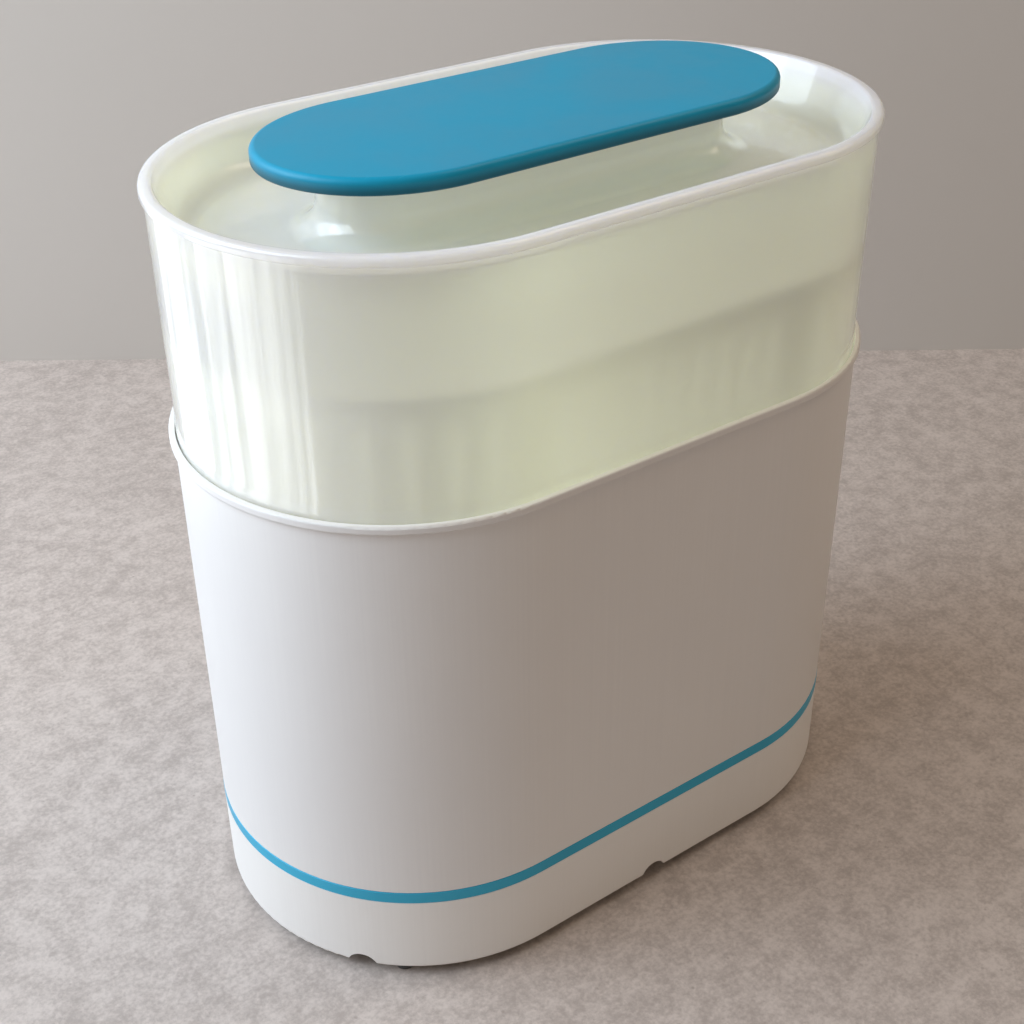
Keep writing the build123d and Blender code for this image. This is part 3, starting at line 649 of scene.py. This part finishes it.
def bored(piece, drills):
    # cuts upright round holes, each (x, y, radius, low, high)
    for x, y, radius, low, high in drills:
        corners = [(0, low, 0, 0, 0), (radius, low, 0, 0, 0), (radius, high, 0, 0, 0),
                   (0, high, 0, 0, 0)]
        drill = carried("drill", corners, piece.data.materials[0], False, 16, 1)
        drill.data.transform(Matrix.Translation((x * mm, y * mm, 0)))
        modifier = piece.modifiers.new("bore", "BOOLEAN")
        modifier.object = drill
        modifier.solver = "EXACT"
        piece.data = settled(piece)
        bpy.data.objects.remove(drill)
    return piece


def buildLid(s, material):
    lid = carried("lid_moulding", lidCorners(s), material)
    low, high = s["trayFloor"] - 2 * s["wall"], s["trayFloor"] + s["wall"]
    vents = [(k * s["ventPitch"], s["ventPlace"], s["ventRadius"], low, high) for k in (-1, 0, 1)]
    bored(lid, vents)
    return standsFor(weighted(lid), "lid", "milky_plastic", "lid_shell")


gripShape = {
    "half": 57.0, "nose": 6.8, "radius": 45.2, "low": 313.6, "high": 319.6,
    "topRound": 2.4, "lowRound": 1.0, "wall": 2.4, "skin": 2.6,
    "ribHalf": 67.0, "ribRadius": 21.0, "rib": 2.0,
}


def buildGrip(s, material):
    half, nose, inside = s["half"], s["nose"], s["high"] - s["skin"]
    rib = [(s["ribRadius"], 0.8), (s["ribRadius"] - s["rib"], 0.4)]
    corners = [
        (0, s["high"], 0, half, nose),
        (s["radius"] * 0.6, s["high"], 0, half, nose),
        (s["radius"], s["high"], s["topRound"], half, nose),
        (s["radius"], s["low"], s["lowRound"], half, nose),
        (s["radius"] - s["wall"], s["low"], 0.3, half, nose),
        (s["radius"] - s["wall"], inside, 0.8, half, nose),
        (rib[0][0], inside, rib[0][1], s["ribHalf"], 0),
        (rib[0][0], s["low"], 0, s["ribHalf"], 0),
        (rib[1][0], s["low"], 0, s["ribHalf"], 0),
        (rib[1][0], inside, rib[1][1], s["ribHalf"], 0),
        (0, inside, 0, s["ribHalf"], 0),
    ]
    grip = carried("grip_plate", corners, material)
    return standsFor(weighted(grip), "lid", "blue_plastic", "handle_plate")


stripeShape = {"radius": 86.5, "thick": 3.0, "low": 41.1, "high": 46.5, "round": 0.4}


def buildStripe(s, material):
    half, inner = plan["half"], s["radius"] - s["thick"]
    corners = [
        (inner, s["low"], 0, half, 0),
        (s["radius"], s["low"], s["round"], half, 0),
        (s["radius"], s["high"], s["round"], half, 0),
        (inner, s["high"], 0, half, 0),
    ]
    stripe = carried("stripe_band", corners, material, True, 72, 24, 15.0)
    return standsFor(weighted(stripe), "base", "blue_plastic", "trim_ring")


def looseBoxes(name):
    # lowest and highest corner of each separate solid in a CAD node
    form = bmesh.new()
    form.from_mesh(nodes[name].data)
    bmesh.ops.remove_doubles(form, verts=form.verts, dist=1e-6)
    left, boxes = set(form.verts), []
    for start in form.verts:
        if start not in left:
            continue
        left.remove(start)
        stack, found = [start], []
        while stack:
            vert = stack.pop()
            found.append(vert.co.copy())
            for edge in vert.link_edges:
                other = edge.other_vert(vert)
                if other in left:
                    left.remove(other)
                    stack.append(other)
        boxes.append((Vector(map(min, zip(*found))), Vector(map(max, zip(*found)))))
    form.free()
    return boxes


def repeated(name, part, places, material, body, slot, node):
    spots = helperMesh(name + "Places", places)
    piece = grown(name, repeatAt, {"Places": spots, "Part": part, "Surface": material})
    for helper in (spots, part):
        bpy.data.objects.remove(helper)
    return standsFor(piece, body, slot, node)


screwShape = {
    "head": 3.4, "headHeight": 2.0, "headRound": 0.7, "socket": 1.545, "socketDepth": 1.0,
    "shank": 1.6, "core": 1.25, "pitch": 0.9, "tip": 1.4,
    # node, body, height of the seat, length under the head
    "sets": [("cover_screws", "base", 18.0, 12.0), ("bracket_screws", "base", 24.1, 9.5),
             ("handle_screws", "lid", 310.6, 4.6)],
}


def screwCorners(s, seat, length):
    low, depth = seat - s["headHeight"], s["socketDepth"]
    corners = [
        (0, low + depth, 0, 0, 0),
        (s["socket"], low + depth, 0, 0, 0),
        (s["socket"], low, 0.1, 0, 0),
        (s["head"], low, s["headRound"], 0, 0),
        (s["head"], seat, 0.15, 0, 0),
        (s["shank"], seat, 0, 0, 0),
    ]
    height = seat + s["pitch"]
    while height < seat + length - s["tip"]:
        corners.append((s["core"], height, 0, 0, 0))
        corners.append((s["shank"], height + s["pitch"] / 2, 0, 0, 0))
        height += s["pitch"]
    end = seat + length
    return corners + [(s["core"], end - s["tip"] / 2, 0, 0, 0), (0, end, 0, 0, 0)]


def middleOf(box):
    return ((box[0].x + box[1].x) / 2, (box[0].y + box[1].y) / 2, 0)


def buildScrews(s, material):
    for node, body, seat, length in s["sets"]:
        part = carried(node + "Part", screwCorners(s, seat, length), material, False, 12, 1, 30.0)
        places = [middleOf(box) for box in looseBoxes(node)]
        name = node.replace("screws", "fixings")
        repeated(name, part, places, material, body, "screw_steel", node)


footShape = {"radius": 4.0, "top": 6.6, "stem": 2.0, "stemTop": 10.6, "lowRound": 0.9}


def buildFeet(s, material):
    corners = [
        (0, 0, 0, 0, 0),
        (s["radius"], 0, s["lowRound"], 0, 0),
        (s["radius"], s["top"], 0.3, 0, 0),
        (s["stem"], s["top"], 0, 0, 0),
        (s["stem"], s["stemTop"], 0.4, 0, 0),
        (0, s["stemTop"], 0, 0, 0),
    ]
    part = carried("footPart", corners, material, False, 18, 1, 15.0)
    places = [middleOf(box) for box in looseBoxes("rubber_feet")]
    repeated("soft_feet", part, places, material, "base", "grey_rubber", "rubber_feet")


print("building shapes")
lid = buildLid(lidShape, finishes["lid"])
grip = buildGrip(gripShape, finishes["blue"])
stripe = buildStripe(stripeShape, finishes["stripe"])
print("lid, grip and stripe built:", len(lid.data.polygons), "faces in the lid")
buildScrews(screwShape, finishes["screw"])
buildFeet(footShape, finishes["rubber"])
print("screws and feet repeated")

# camera, from the fit of the capsule's edges to the photograph

cameraLook = {
    "azimuth": 144.04,
    "elevation": 32.07,
    "distance": 0.62555,
    "target": (0.01052, 0.0, 0.1485),
    "lens": 52.69,
    "roll": -0.67,
}


def placeCamera(look):
    data = bpy.data.cameras.new("camera")
    data.sensor_width = 36.0
    data.lens = look["lens"]
    camera = bpy.data.objects.new("camera", data)
    bpy.context.scene.collection.objects.link(camera)
    azimuth, elevation = radians(look["azimuth"]), radians(look["elevation"])
    back = Vector((sin(azimuth) * cos(elevation), -cos(azimuth) * cos(elevation), sin(elevation)))
    across = Vector((0, 0, 1)).cross(back).normalized()
    above = back.cross(across)
    roll = radians(look["roll"])
    right = across * cos(roll) + above * sin(roll)
    up = back.cross(right)
    turn = Matrix((right, up, back)).transposed().to_4x4()
    spot = Vector(look["target"]) + back * look["distance"]
    camera.matrix_world = Matrix.Translation(spot) @ turn
    bpy.context.scene.camera = camera
    return back


back = placeCamera(cameraLook)
print("camera placed")

# floor, wall and lamps

stageLook = {
    "wallBehind": 0.452,  # from the camera's target to the wall, along the floor
    "floorSize": 6.0,
    "wallHeight": 3.0,
}


def stagePiece(name, points, material, faces=None):
    mesh = bpy.data.meshes.new(name)
    mesh.from_pydata(points, [], faces or [tuple(range(len(points)))])
    piece = bpy.data.objects.new(name, mesh)
    bpy.context.scene.collection.objects.link(piece)
    dress(piece, material)
    return piece


floorLook = {
    "dark": (0.41, 0.355, 0.325),
    "light": (0.60, 0.53, 0.49),
    "pit": (0.34, 0.29, 0.26),
    "pitCells": 190.0,
    "pitSize": 0.16,
    "roughness": (0.55, 0.75),
}
wallLook = {
    "dark": (0.57, 0.53, 0.49),
    "light": (0.60, 0.56, 0.52),
}


def floorFinish(look):
    made = Finish("floorStone", **{"Specular IOR Level": 0.25})
    fine = made.noise(420.0, 4.0, 0.7)
    middle = made.noise(85.0, 4.0, 0.65)
    broad = made.noise(14.0, 3.0, 0.6)
    mottle = made.ranged(fine * 0.45 + middle * 0.4 + broad * 0.15, 0.38, 0.62)
    colour = made.blended(mottle, look["dark"], look["light"])
    pits = made.specks(look["pitCells"], look["pitSize"])
    colour = made.blended(pits * 0.5, colour, look["pit"])
    rough = made.ranged(fine, 0.3, 0.7, look["roughness"])
    normal = made.bumped(fine, 0.12, 0.0006)
    made.feed(colour=colour, roughness=rough, normal=normal)
    return made.clearWhere(made.fromBehind()).material


def wallFinish(look):
    made = Finish("wallPaint", **{"Roughness": 0.9, "Specular IOR Level": 0.1})
    colour = made.blended(made.noise(3.0, 3.0), look["dark"], look["light"])
    return made.feed(colour=colour).clearWhere(made.fromBehind()).material


def buildStage(look):
    flat = Vector((back.x, back.y, 0)).normalized()
    along = Vector((-flat.y, flat.x, 0))
    foot = Vector((*cameraLook["target"][:2], 0)) - flat * look["wallBehind"]
    half, high = look["floorSize"], Vector((0, 0, look["wallHeight"]))
    corners = [(-half, -half, 0), (half, -half, 0), (half, half, 0), (-half, half, 0)]
    stagePiece("floor", corners, floorFinish(floorLook))
    low = [foot - along * half, foot + along * half]
    stagePiece("wall", [low[0], low[1], low[1] + high, low[0] + high], wallFinish(wallLook))


cardLook = {
    # a bright folded curtain that only reflections show
    "centre": (0.06, 0.0),
    "radius": 0.40,
    "turn": (-71, 18),  # degrees from +X towards +Y
    "steps": 36,
    "height": (0.0, 0.20),
    "strength": 4.5,
    "folds": (38, 38, 3),
    "shade": (0.12, 0.12, 0.12),
    "tint": (0.95, 0.98, 1.0),
}


def cardFinish(look):
    made = Finish("cardGlow", **{"Base Color": (0, 0, 0, 1), "Roughness": 1.0,
                                 "Specular IOR Level": 0.0, "Emission Strength": look["strength"]})
    folds = made.noise(1.0, 3.0, 0.6, made.stretched(*look["folds"]))
    glow = made.blended(made.ranged(folds, 0.36, 0.62), look["shade"], look["tint"])
    return made.feed(glow=glow).material


def buildCard(look):
    steps, points = look["steps"], []
    start, end = look["turn"]
    for height in look["height"]:
        for k in range(steps + 1):
            turn = radians(start + (end - start) * k / steps)
            points.append((look["centre"][0] + look["radius"] * cos(turn),
                           look["centre"][1] + look["radius"] * sin(turn), height))
    faces = [(k, k + steps + 1, k + steps + 2, k + 1) for k in range(steps)]
    card = stagePiece("curtain_card", points, cardFinish(look), faces)
    for ray in ("camera", "diffuse", "transmission", "volume_scatter", "shadow"):
        setattr(card, "visible_" + ray, False)


lampLook = {
    # azimuth from +X towards +Y, elevation, distance, size, power, colour
    "key": (-12, 40, 1.3, (0.9, 0.9), 10.5, (0.754, 0.877, 1.0)),
    "side": (-40, 30, 1.3, (1.0, 1.0), 13.5, (0.754, 0.877, 1.0)),
    "fill": (180, 50, 1.5, (1.2, 1.2), 10.0, (1.0, 0.8, 0.6)),
}
worldLook = {"colour": (1.0, 0.83, 0.67), "strength": 0.32}


def addLamp(name, azimuth, elevation, distance, size, power, colour):
    data = bpy.data.lights.new(name, "AREA")
    data.shape = "RECTANGLE"
    data.size, data.size_y = size
    data.energy = power
    data.color = colour
    lamp = bpy.data.objects.new(name, data)
    bpy.context.scene.collection.objects.link(lamp)
    a, e = radians(azimuth), radians(elevation)
    way = Vector((cos(a) * cos(e), sin(a) * cos(e), sin(e)))
    lamp.location = Vector(cameraLook["target"]) + way * distance
    lamp.rotation_euler = way.to_track_quat("Z", "Y").to_euler()
    lamp.visible_camera = False


def lightWorld(look):
    world = bpy.data.worlds.new("world")
    bpy.context.scene.world = world
    world.use_nodes = True
    sky = world.node_tree.nodes["Background"].inputs
    sky["Color"].default_value = (*look["colour"], 1)
    sky["Strength"].default_value = look["strength"]


buildStage(stageLook)
buildCard(cardLook)
for name, look in lampLook.items():
    addLamp(name, *look)
lightWorld(worldLook)
bpy.context.scene.view_settings.view_transform = "Standard"
print("stage and lamps placed")
